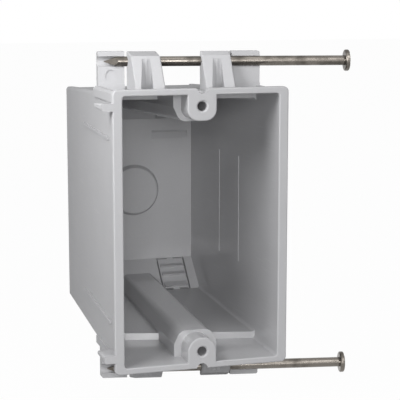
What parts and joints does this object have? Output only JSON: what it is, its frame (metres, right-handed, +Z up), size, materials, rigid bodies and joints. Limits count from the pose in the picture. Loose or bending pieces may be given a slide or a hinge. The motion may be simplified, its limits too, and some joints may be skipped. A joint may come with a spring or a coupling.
{
  "type": "electrical switch box",
  "caption": "Grey plastic wall box for a switch or socket, nailed to a stud, with sloping cable flaps at the back and screw bosses in its rim.",
  "frame": {"origin": "midway between the two device screw holes, on the plane of the rim", "axes": "+X to the right seen from the front, away from the stud; +Y into the box; +Z up"},
  "size_m": [0.094, 0.0965, 0.1174],
  "materials": {
    "box_plastic": "satin",
    "nail_steel": "bright drawn wire"
  },
  "bodies": {
    "box": {"box": "box_plastic"},
    "upper_nail": {"upper_nail": "nail_steel"},
    "lower_nail": {"lower_nail": "nail_steel"}
  },
  "joints": [
    {"name": "upper_nail_drive", "type": "slide", "parent": "box", "child": "upper_nail", "axis": [-0.9816, 0.1908, 0], "range_m": [0, 0.0295]},
    {"name": "lower_nail_drive", "type": "slide", "parent": "box", "child": "lower_nail", "axis": [-0.9816, 0.1908, 0], "range_m": [0, 0.0295]}
  ]
}
